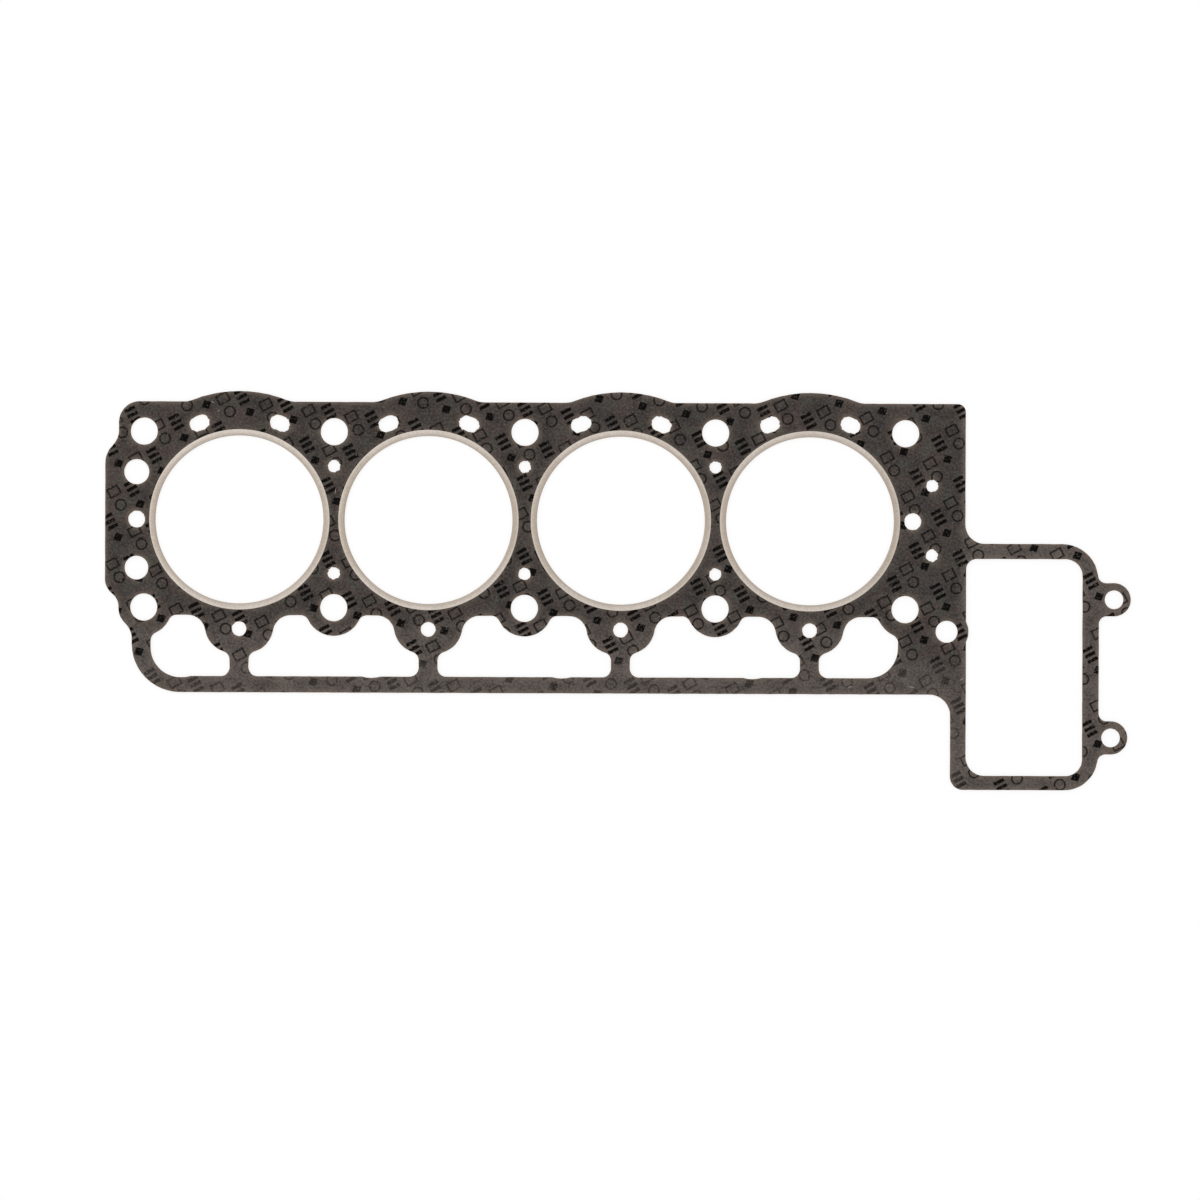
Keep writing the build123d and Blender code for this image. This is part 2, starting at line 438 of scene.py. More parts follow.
@dataclass(frozen=True)
class BoardFinish:
    """Matt rubber-bound fibre sheet, paler where it was cut, partly from loose fibre and partly from a
    painted glow, paler on the rail and the chain frame from a painted glare, with marks stamped on its head
    face.

    Sizes are in millimetres. A band is where noise starts to tell and where it tells in full.
    """

    name: str = "gasket_board_fibre"
    edge_attribute: str = "edge_mm"
    body: Colour = (67, 62, 59)
    brown: Colour = (71, 63, 60)
    green: Colour = (64, 63, 58)
    # Painted glare colour of the narrow rail and the chain frame.
    painted_glare: Colour = (85, 78.5, 75)
    # Pale edge colour: partly loose fibre at the cut, partly a painted glow along every cut edge.
    fray_glow: Colour = (120, 107, 97)
    raw: Colour = (100, 80, 64)
    fleck: Colour = (122, 114, 106)
    pit: Colour = (40, 36, 34)
    ink: Colour = (8, 6, 5)
    scuff: Colour = (170, 162, 154)
    noise_detail: float = 3.0
    cloud_size: float = 14.0
    patch_size: float = 6.0
    grain_size: float = 1.1
    fibre_size: float = 0.4
    brown_band: Pair = (0.42, 0.62)
    green_band: Pair = (0.52, 0.68)
    shade_least: float = 0.385
    shade_grain: float = 0.70
    shade_patch: float = 0.33
    shade_cloud: float = 0.20
    fine_band: Pair = (0.25, 0.75)
    cloud_band: Pair = (0.3, 0.7)
    fibre_share: float = 0.6
    fleck_band: Pair = (0.58, 0.68)
    pit_band: Pair = (0.42, 0.33)
    speck_share: float = 0.6
    fray_glow_share: float = 0.82
    fray_glow_reach: float = 1.1
    fray_glow_least: float = 0.55
    fray_glow_grain: float = 0.9
    fray_glow_band: Pair = (0.2, 0.8)
    raw_share: float = 0.90
    raw_reach: float = 0.30
    rail_top: float = -42.0
    rail_fade: float = 22.0
    rail_side: float = 150.0
    rail_lean: float = 0.35
    frame_side: float = 215.0
    frame_fade: float = 8.0
    marks: StampedMarks = StampedMarks()
    face_depth: float = 0.02
    ink_bleed: float = 0.6
    line_ink: float = 0.85
    wear_band: Pair = (0.66, 0.55)
    worn_share: float = 0.4
    worn_top: float = -66.0
    worn_fade: float = 8.0
    scuff_band: Pair = (1.3, 0.4)
    scuff_share: float = 0.8
    scratches: tuple[Scratch, ...] = (
        Scratch(218.8, -78.7, 35, 2.4),
        Scratch(193.8, -82.7, -8, 3.4),
        Scratch(162.8, -82.7, 12, 2.2),
        Scratch(-156.2, 58.6, -30, 2.0),
        Scratch(-153.2, 54.3, 40, 1.2),
        Scratch(-94.7, 14.3, 82, 3.0, 0.3),
    )
    roughness: float = 0.84
    grain_roughness: float = 0.14
    ink_gloss: float = 0.1
    relief: float = 0.03
    grain_relief: float = 0.6
    specular: float = 0.05

    def spot(self, graph: ShaderGraph) -> BoardSpot:
        """Finds the place on the sheet and the noise there.

        Args:
            graph: The material's graph.

        Returns:
            The spot.
        """
        place = graph.millimetres(Vector())
        sizes = (self.cloud_size, self.patch_size, self.grain_size, self.fibre_size)
        noises = [graph.noise(place, size, self.noise_detail) for size in sizes]
        return BoardSpot(*graph.parts(place), *noises)

    def ground(self, graph: ShaderGraph, spot: BoardSpot, frame: Term) -> bpy.types.NodeSocket:
        """Colours the bare sheet, with a painted glare that makes the rail and the chain frame paler.

        Args:
            graph: The material's graph.
            spot: The spot.
            frame: 1 on the chain frame and 0 off it.

        Returns:
            The colour's socket.
        """
        colour = graph.blend(graph.ramp(spot.cloud, *self.brown_band), linear(self.body), linear(self.brown))
        colour = graph.blend(graph.ramp(spot.patch, *self.green_band), colour, linear(self.green))
        # Painted glare: the narrow rail and the chain frame are made paler.
        lean = (spot.x - self.rail_side).most(0.0) * self.rail_lean
        height = spot.y + (spot.cloud - 0.5) * self.rail_fade + lean
        rail = graph.ramp(height, self.rail_top, self.rail_top - self.rail_fade)
        colour = graph.blend(rail.most(frame), colour, linear(self.painted_glare))
        shade = self.shade_least + self.shade_grain * graph.ramp(spot.grain, *self.fine_band)
        shade = shade + self.shade_patch * graph.ramp(spot.patch, *self.fine_band)
        shade = shade + self.shade_cloud * graph.ramp(spot.cloud, *self.cloud_band)
        colour = graph.scaled(colour, shade)
        speckle = spot.fibre * self.fibre_share + spot.grain * (1 - self.fibre_share)
        pale = graph.ramp(speckle, *self.fleck_band) * self.speck_share
        dark = graph.ramp(speckle, *self.pit_band) * self.speck_share
        return graph.blend(dark, graph.blend(pale, colour, linear(self.fleck)), linear(self.pit))

    def fray_and_glow(self, graph: ShaderGraph, spot: BoardSpot, colour: bpy.types.NodeSocket) -> bpy.types.NodeSocket:
        """Makes the sheet paler towards its cut edges, partly as loose fibre and partly as a painted glow,
        and brown at the cut itself.

        Args:
            graph: The material's graph.
            spot: The spot.
            colour: The bare sheet's colour.

        Returns:
            The colour's socket.
        """
        attribute = graph.add("ShaderNodeAttribute", {"attribute_name": self.edge_attribute})
        edge = Term(graph, attribute.outputs["Fac"])
        # Pale band along the cut edges: partly loose fibre, partly a painted glow.
        fray_and_glow = graph.math("EXPONENT", edge * (-1 / self.fray_glow_reach)) * self.fray_glow_share
        ragged = self.fray_glow_least + self.fray_glow_grain * graph.ramp(spot.grain, *self.fray_glow_band)
        colour = graph.blend(fray_and_glow * ragged.least(1.0), colour, linear(self.fray_glow))
        raw = graph.math("EXPONENT", edge * (-1 / self.raw_reach)) * self.raw_share
        return graph.blend(raw, colour, linear(self.raw))

    def stamp(self, graph: ShaderGraph, spot: BoardSpot, frame: Term) -> Term:
        """Draws the stamped marks, which the grain wears, and the rail most of all.

        Args:
            graph: The material's graph.
            spot: The spot.
            frame: 1 on the chain frame and 0 off it.

        Returns:
            How much ink there is, from 0 to 1.
        """
        x = spot.x + (spot.fibre - 0.5) * self.ink_bleed
        y = spot.y + (spot.grain - 0.5) * self.ink_bleed
        marks = self.marks.solid(graph, x, y).most(self.marks.outlined(graph, x, y) * self.line_ink)
        left = graph.ramp(spot.grain * 0.5 + spot.fibre * 0.5, *self.wear_band)
        worn = graph.ramp(spot.y, self.worn_top, self.worn_top - self.worn_fade) * (1.0 - frame)
        return marks * left * (1.0 - self.worn_share * worn)

    def scuffs(self, graph: ShaderGraph, spot: BoardSpot) -> Term:
        """Draws the pale scuffs.

        Args:
            graph: The material's graph.
            spot: The spot.

        Returns:
            1 on the scuffs and 0 off them.
        """
        total: Term | float = 0.0
        for scratch in self.scratches:
            cos, sin = math.cos(math.radians(scratch.angle)), math.sin(math.radians(scratch.angle))
            x, y = spot.x - scratch.x, spot.y - scratch.y
            along, across = x * cos + y * sin, y * cos - x * sin
            reach = (along / (scratch.length / 2)) ** 2 + (across / (scratch.width / 2)) ** 2
            total = total + graph.ramp(reach, *self.scuff_band)
        return total

    def material(self, top: float) -> bpy.types.Material:
        """Makes the sheet's material.

        Args:
            top: The height of the stamped face, in metres.

        Returns:
            The material.
        """
        material, graph = new_material(self.name)
        spot = self.spot(graph)
        frame = graph.ramp(spot.x, self.frame_side, self.frame_side + self.frame_fade)
        face = graph.math("GREATER_THAN", spot.z, top / MM - self.face_depth)
        ink = self.stamp(graph, spot, frame) * face
        colour = self.fray_and_glow(graph, spot, self.ground(graph, spot, frame))
        colour = graph.blend(ink, colour, linear(self.ink))
        scuffs = self.scuffs(graph, spot) * face * self.scuff_share
        colour = graph.blend(scuffs, colour, linear(self.scuff))
        roughness = self.roughness + self.grain_roughness * (spot.grain - 0.5) - self.ink_gloss * ink
        relief = spot.grain * self.grain_relief + spot.fibre * (1 - self.grain_relief)
        graph.surface(colour, roughness, relief, self.relief * MM, {"Specular IOR Level": self.specular})
        return material


@dataclass(frozen=True)
class RingFinish:
    """Thin plated steel, rolled round the bore, with a satin sheen, a painted highlight along its rim, and
    painted shade towards the fold at the bore and on its east and west sides.

    Sizes are in millimetres. A rate is how many patches of noise there are in a millimetre across
    the ring and in a radian round it.
    """

    name: str = "ring_metal_satin"
    flange: Colour = (198, 188, 178)
    # Painted highlight along the outer rim.
    rim: Colour = (209, 200, 190)
    # Painted shade of the rounded fold at the bore.
    fold: Colour = (170, 156, 143)
    # Painted shade: each ring is darker and browner on its east and west sides.
    side_shade: Colour = (182, 170, 157)
    seed_step: float = 50.0
    line_rate: Pair = (7.0, 3.0)
    line_detail: float = 3.0
    tick_rate: Pair = (0.6, 60.0)
    tick_detail: float = 2.0
    drift_rate: Pair = (0.15, 2.2)
    drift_detail: float = 2.0
    side_shade_drift: float = 2.0
    side_shade_band: Pair = (0.25, 1.0)
    shade_least: float = 0.81
    shade_lines: float = 0.18
    shade_ticks: float = 0.20
    shade_band: Pair = (0.3, 0.7)
    fold_shade_band: Pair = (1.9, 0.5)
    fold_shade_drift: float = 1.6
    fold_shade_share: float = 0.6
    rim_highlight_band: Pair = (-1.1, -0.5)
    rim_highlight_drift: float = 0.6
    rim_highlight_share: float = 0.5
    roughness: float = 0.36
    line_roughness: float = 0.16
    tick_roughness: float = 0.12
    line_relief: float = 0.7
    relief: float = 0.012

    def material(self, number: int, centre: Vector, bore: float, outer: float) -> bpy.types.Material:
        """Makes the material of one ring.

        Args:
            number: The ring's number, which gives it a pattern of its own.
            centre: The bore's centre, in metres.
            bore: The bore's radius, in millimetres.
            outer: The flange's outer radius, in millimetres.

        Returns:
            The material.
        """
        material, graph = new_material(f"{self.name}_{number}")
        x, y, _ = graph.parts(graph.millimetres(centre))
        radius = graph.math("SQRT", x * x + y * y)
        east, north = x / radius, y / radius
        seed = number * self.seed_step
        across, around = self.line_rate
        rolled = graph.vector(radius * across + seed, east * around, north * around)
        lines = graph.noise(rolled, 1.0, self.line_detail)
        across, around = self.tick_rate
        crossing = graph.vector(radius * across + seed, east * around, north * around)
        ticks = graph.noise(crossing, 1.0, self.tick_detail)
        across, around = self.drift_rate
        slow = graph.vector(east * around, north * around, radius * across + seed)
        drift = graph.noise(slow, 1.0, self.drift_detail) - 0.5

        # Painted shade on the east and west sides, loosened by slow noise.
        shaded_sides = graph.ramp(east * east + self.side_shade_drift * drift, *self.side_shade_band)
        colour = graph.blend(shaded_sides, linear(self.flange), linear(self.side_shade))
        shade = self.shade_least + self.shade_lines * graph.ramp(lines, *self.shade_band)
        colour = graph.scaled(colour, shade + self.shade_ticks * graph.ramp(ticks, *self.shade_band))
        # Painted shade: darker towards the fold at the bore.
        fold_shade = graph.ramp(radius + drift * self.fold_shade_drift, *(bore + edge for edge in self.fold_shade_band))
        colour = graph.blend(fold_shade * self.fold_shade_share, colour, linear(self.fold))
        # Painted highlight: paler towards the outer rim.
        rim = graph.ramp(radius + drift * self.rim_highlight_drift, *(outer + edge for edge in self.rim_highlight_band))
        colour = graph.blend(rim * self.rim_highlight_share, colour, linear(self.rim))

        roughness = self.roughness + self.line_roughness * (lines - 0.5) + self.tick_roughness * (ticks - 0.5)
        relief = lines * self.line_relief + ticks * (1 - self.line_relief)
        graph.surface(colour, roughness, relief, self.relief * MM, {"Metallic": 1.0})
        return material


def select_only(piece: bpy.types.Object) -> None:
    """Makes one piece the only one that is selected, and the active one.

    Args:
        piece: The piece.
    """
    bpy.ops.object.select_all(action="DESELECT")
    piece.select_set(True)
    bpy.context.view_layer.objects.active = piece


@contextmanager
def editing(piece: bpy.types.Object, mode: str = "FACE") -> Iterator[None]:
    """Opens one piece in edit mode with nothing in it selected, and closes it again.

    Args:
        piece: The piece.
        mode: What is selected in it: VERT, EDGE or FACE.
    """
    select_only(piece)
    bpy.ops.object.mode_set(mode="EDIT")
    bpy.ops.mesh.select_mode(type=mode)
    bpy.ops.mesh.select_all(action="DESELECT")
    yield
    bpy.ops.object.mode_set(mode="OBJECT")


def declare(piece: bpy.types.Object, node: str) -> None:
    """Lets a piece stand for a CAD node and move with the gasket's body.

    Args:
        piece: The piece.
        node: The CAD node that it stands for.
    """
    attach(piece, BODY)
    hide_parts(node)


@dataclass(frozen=True)
class WallMap:
    """Upright walls of the sheet, to measure from, with the kind of cut edge that each one belongs to."""

    tree: BVHTree
    kinds: tuple[Rim, ...]

    def nearest(self, place: Vector) -> tuple[Rim, float]:
        """Finds the wall nearest to a place.

        Args:
            place: The place, in metres.

        Returns:
            The kind of the wall's edge, and its distance in millimetres.
        """
        _, _, number, distance = self.tree.find_nearest(place)
        return self.kinds[number], distance / MM


@dataclass(frozen=True)
class Tear:
    """How ragged one kind of cut edge is: how deep and how long its tears are, in millimetres."""

    kind: Rim
    depth: float
    size: float


@dataclass
class PunchedSheet:
    """The sheet, with edges rolled over by the punch, small tears and a pale band along each cut, partly
    loose fibre and partly a painted glow.

    Sizes are in millimetres, and the levels of its faces and its middle in metres. A rise is the
    upward part of a face's normal: the most that a wall has, and the least that a flat has.
    """

    node: str = "gasket_sheet"
    slot: str = "gasket_board"
    name: str = "punched_sheet"
    finish: BoardFinish = BoardFinish()
    merge: float = 0.002
    flat_angle: float = math.radians(0.5)
    smooth_angle: float = math.radians(40)
    wall_rise: float = 0.1
    flat_rise: float = 0.9
    level_rise: float = 0.999
    rollover: float = 0.12
    rollover_steps: int = 2
    bands: tuple[float, ...] = (0.22, 0.28, 0.30)
    grid: float = 3.0
    grid_start: float = 0.37
    round_span: float = 7.0
    small_span: float = 9.0
    wide_span: float = 20.0
    seat_span: float = 60.0
    round_error: float = 0.01
    # Moves the pale band of loose fibre and painted glow away from the ring seats.
    seat_fray_glow: float = 1.0
    edge_limit: float = 12.0
    tears: tuple[Tear, ...] = (
        Tear(Rim.SMALL_HOLE, 1.2, 1.3),
        Tear(Rim.ROUND_HOLE, 0.55, 1.1),
        Tear(Rim.WIDE_HOLE, 0.16, 1.6),
        Tear(Rim.OUTLINE, 0.25, 1.8),
    )
    tear_reach: float = 1.3
    tear_layers: int = 2
    tear_growth: float = 0.1
    ease_limit: int = 20
    ease_margin: float = 1.1
    ease_share: float = 0.5
    levels: dict[Face, float] = field(init=False)
    middle: float = field(init=False)

    def build(self, nodes: dict[str, bpy.types.Object]) -> bpy.types.Object:
        """Models and dresses the sheet.

        Args:
            nodes: The CAD nodes by name.

        Returns:
            The finished piece.
        """
        low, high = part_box(self.node)
        self.levels = {Face.BLOCK: low.z, Face.HEAD: high.z}
        self.middle = (low.z + high.z) / 2
        piece = self.copy_solid(nodes[self.node])
        cuts, seats = self.map_walls(piece)
        self.divide_walls(piece, cuts)
        self.roll_edges(piece, cuts)
        for face in Face:
            self.band(piece, face)
        self.quarter(piece, low, high)
        self.measure(piece, cuts, seats)
        self.tear(piece, cuts)
        self.trim(piece, low, high)
        self.ease_folds(piece)
        select_only(piece)
        bpy.ops.object.shade_smooth_by_angle(angle=self.smooth_angle)
        piece.data.materials.clear()
        piece.data.materials.append(self.finish.material(high.z))
        declare(piece, self.node)
        return piece

    def copy_solid(self, node: bpy.types.Object) -> bpy.types.Object:
        """Copies the CAD sheet, and merges its triangles into whole flats and walls.

        Args:
            node: The CAD node.

        Returns:
            The copy, with a mesh of its own.
        """
        piece = node.copy()
        piece.data = node.data.copy()
        piece.name = piece.data.name = self.name
        piece.parent = None
        bpy.context.scene.collection.objects.link(piece)
        with editing(piece):
            bpy.ops.mesh.customdata_custom_splitnormals_clear()
            bpy.ops.mesh.select_all(action="SELECT")
            bpy.ops.mesh.remove_doubles(threshold=self.merge * MM)
            bpy.ops.mesh.dissolve_limited(angle_limit=self.flat_angle)
        return piece

    def map_walls(self, piece: bpy.types.Object) -> tuple[WallMap, WallMap]:
        """Sorts the sheet's upright walls into closed runs, and the runs by what they go round.

        Args:
            piece: The merged sheet.

        Returns:
            The walls of the outline and the holes, and those of the ring seats.
        """
        shape = bmesh.new()
        shape.from_mesh(piece.data)
        corners = [corner.co.copy() for corner in shape.verts]
        walls = {face for face in shape.faces if abs(face.normal.z) < self.wall_rise}
        found: dict[bool, list[tuple[Rim, list[int]]]] = {True: [], False: []}
        for start in shape.faces:
            if start not in walls:
                continue
            run, front = {start}, [start]
            while front:
                face = front.pop()
                beside = {other for edge in face.edges for other in edge.link_faces} & walls - run
                run |= beside
                front.extend(beside)
            walls -= run
            kind = self.sort_run([corner.co for face in run for corner in face.verts])
            for face in sorted(run, key=lambda wall: wall.index):
                found[kind is Rim.SEAT].append((kind, [corner.index for corner in face.verts]))
        shape.free()
        maps = []
        for seat in (False, True):
            tree = BVHTree.FromPolygons(corners, [wall for _, wall in found[seat]])
            maps.append(WallMap(tree, tuple(kind for kind, _ in found[seat])))
        return maps[0], maps[1]

    def sort_run(self, points: list[Vector]) -> Rim:
        """Tells from its size what a closed run of walls goes round.

        Args:
            points: The corners of its walls.

        Returns:
            The kind of cut edge.
        """
        width, depth = (max(p[axis] for p in points) - min(p[axis] for p in points) for axis in (0, 1))
        is_round = abs(width - depth) < self.round_error * width
        if min(width, depth) < self.small_span * MM:
            return Rim.ROUND_HOLE if is_round and width > self.round_span * MM else Rim.SMALL_HOLE
        if max(width, depth) < self.wide_span * MM:
            return Rim.WIDE_HOLE
        if is_round and width > self.seat_span * MM:
            return Rim.SEAT
        return Rim.OUTLINE

    def at_middle(self, place: Vector) -> Vector:
        """Is a place brought to half the sheet's height, where every cut wall is."""
        return Vector((place.x, place.y, self.middle))

    def divide_walls(self, piece: bpy.types.Object, cuts: WallMap) -> None:
        """Divides the walls of the smaller holes, whose tears are the finest.

        Args:
            piece: The merged sheet.
            cuts: Its cut walls.
        """
        with editing(piece, "EDGE"):
            shape = bmesh.from_edit_mesh(piece.data)
            for edge in shape.edges:
                start, end = (corner.co for corner in edge.verts)
                kind, distance = cuts.nearest(self.at_middle((start + end) / 2))
                level = abs(start.z - end.z) < self.merge * MM
                fine = kind in (Rim.SMALL_HOLE, Rim.ROUND_HOLE)
                edge.select_set(level and fine and distance < self.merge)
            bmesh.update_edit_mesh(piece.data)
            bpy.ops.mesh.subdivide(number_cuts=1)

    def roll_edges(self, piece: bpy.types.Object, cuts: WallMap) -> None:
        """Rounds every cut corner a little, as a punch leaves it, except at the ring seats.

        Args:
            piece: The merged sheet.
            cuts: Its cut walls.
        """
        with editing(piece, "EDGE"):
            shape = bmesh.from_edit_mesh(piece.data)
            for edge in shape.edges:
                ups = sorted(abs(face.normal.z) for face in edge.link_faces)
                if len(ups) == 2 and ups[0] < self.wall_rise and ups[1] > self.flat_rise:
                    middle = (edge.verts[0].co + edge.verts[1].co) / 2
                    edge.select_set(cuts.nearest(self.at_middle(middle))[1] < self.merge)
            bmesh.update_edit_mesh(piece.data)
            bpy.ops.mesh.bevel(offset=self.rollover * MM, segments=self.rollover_steps, profile=0.5,
                               clamp_overlap=False)

    def band(self, piece: bpy.types.Object, side: Face) -> None:
        """Insets one flat face in narrow bands that follow its edges.

        Args:
            piece: The sheet.
            side: The face.
        """
        with editing(piece):
            shape = bmesh.from_edit_mesh(piece.data)
            for face in shape.faces:
                level = abs(face.calc_center_median().z - self.levels[side]) < self.merge * MM
                face.select_set(level and face.normal.z * side.value > self.level_rise)
            bmesh.update_edit_mesh(piece.data)
            for width in self.bands:
                bpy.ops.mesh.inset(thickness=width * MM, depth=0.0, use_even_offset=True)

    def quarter(self, piece: bpy.types.Object, low: Vector, high: Vector) -> None:
        """Cuts the sheet by a grid of upright planes, so that its flats carry a fine mesh.

        Args:
            piece: The sheet.
            low: The sheet's lowest corner.
            high: Its highest corner.
        """
        with editing(piece):
            for axis in (0, 1):
                place = low[axis] + self.grid_start * MM
                while place < high[axis]:
                    point, normal = Vector(), Vector()
                    point[axis], normal[axis] = place, 1.0
                    bpy.ops.mesh.select_all(action="SELECT")
                    bpy.ops.mesh.bisect(plane_co=point, plane_no=normal, threshold=self.merge * MM)
                    place += self.grid * MM

    def measure(self, piece: bpy.types.Object, cuts: WallMap, seats: WallMap) -> None:
        """Writes each vertex's distance from the nearest cut edge into an attribute, in millimetres.

        Args:
            piece: The sheet.
            cuts: Its cut walls.
            seats: The walls of its ring seats, along which the pale band of loose fibre and painted glow is
                narrower.
        """
        distances = []
        for vertex in piece.data.vertices:
            cut = cuts.nearest(self.at_middle(vertex.co))[1]
            # The painted glow and pale fibre are weaker next to the ring seats.
            seat = seats.nearest(vertex.co)[1] + self.seat_fray_glow
            distances.append(min(cut, seat, self.edge_limit))
        attribute = piece.data.attributes.new(self.finish.edge_attribute, "FLOAT", "POINT")
        attribute.data.foreach_set("value", distances)

    def tear(self, piece: bpy.types.Object, cuts: WallMap) -> None:
        """Makes the cut walls ragged, most of all in the small holes.

        Args:
            piece: The sheet.
            cuts: Its cut walls.
        """
        groups = {tear.kind: piece.vertex_groups.new(name=tear.kind.value) for tear in self.tears}
        for vertex in piece.data.vertices:
            kind, distance = cuts.nearest(self.at_middle(vertex.co))
            if kind in groups and distance < self.tear_reach:
                groups[kind].add([vertex.index], 1 - distance / self.tear_reach, "REPLACE")
        select_only(piece)
        for tear in self.tears:
            for number, direction in enumerate("XY"):
                texture = bpy.data.textures.new(f"{tear.kind.value} {direction}", "CLOUDS")
                texture.noise_scale = tear.size * (1 + self.tear_growth * number) * MM
                texture.noise_depth = self.tear_layers
                ragged = piece.modifiers.new(texture.name, "DISPLACE")
                ragged.texture = texture
                ragged.direction = direction
                ragged.strength = tear.depth * MM
                ragged.vertex_group = tear.kind.value
                bpy.ops.object.modifier_apply(modifier=ragged.name)
        piece.vertex_groups.clear()

    def trim(self, piece: bpy.types.Object, low: Vector, high: Vector) -> None:
        """Brings what frays out past the sheet's box back to its side.

        Args:
            piece: The sheet.
            low: The box's lowest corner.
            high: Its highest corner.
        """
        for vertex in piece.data.vertices:
            vertex.co = [min(max(place, least), most) for place, least, most in zip(vertex.co, low, high)]

    def is_folded(self, face: bmesh.types.BMFace) -> bool:
        """Tells whether a face that lies flat looks into the sheet.

        Args:
            face: The face.

        Returns:
            True where it has been folded over.
        """
        heights = [corner.co.z for corner in face.verts]
        if max(heights) - min(heights) > self.merge * MM:
            return False
        return face.normal.z * (heights[0] - self.middle) < 0

    def ease_folds(self, piece: bpy.types.Object) -> None:
        """Smooths the flats where narrow bands fold over one another, until none does or few are left.

        Args:
            piece: The sheet.
        """
        for _ in range(self.ease_limit):
            with editing(piece, "VERT"):
                shape = bmesh.from_edit_mesh(piece.data)
                edge = shape.verts.layers.float[self.finish.edge_attribute]
                folded = [face for face in shape.faces if self.is_folded(face)]
                for face in folded:
                    for corner in face.verts:
                        corner.select_set(corner[edge] > self.ease_margin * self.rollover)
                bmesh.update_edit_mesh(piece.data)
                bpy.ops.mesh.vertices_smooth(factor=self.ease_share)
            if not folded:
                return
        LOG.info("%s: %d folded faces left", piece.name, len(folded))


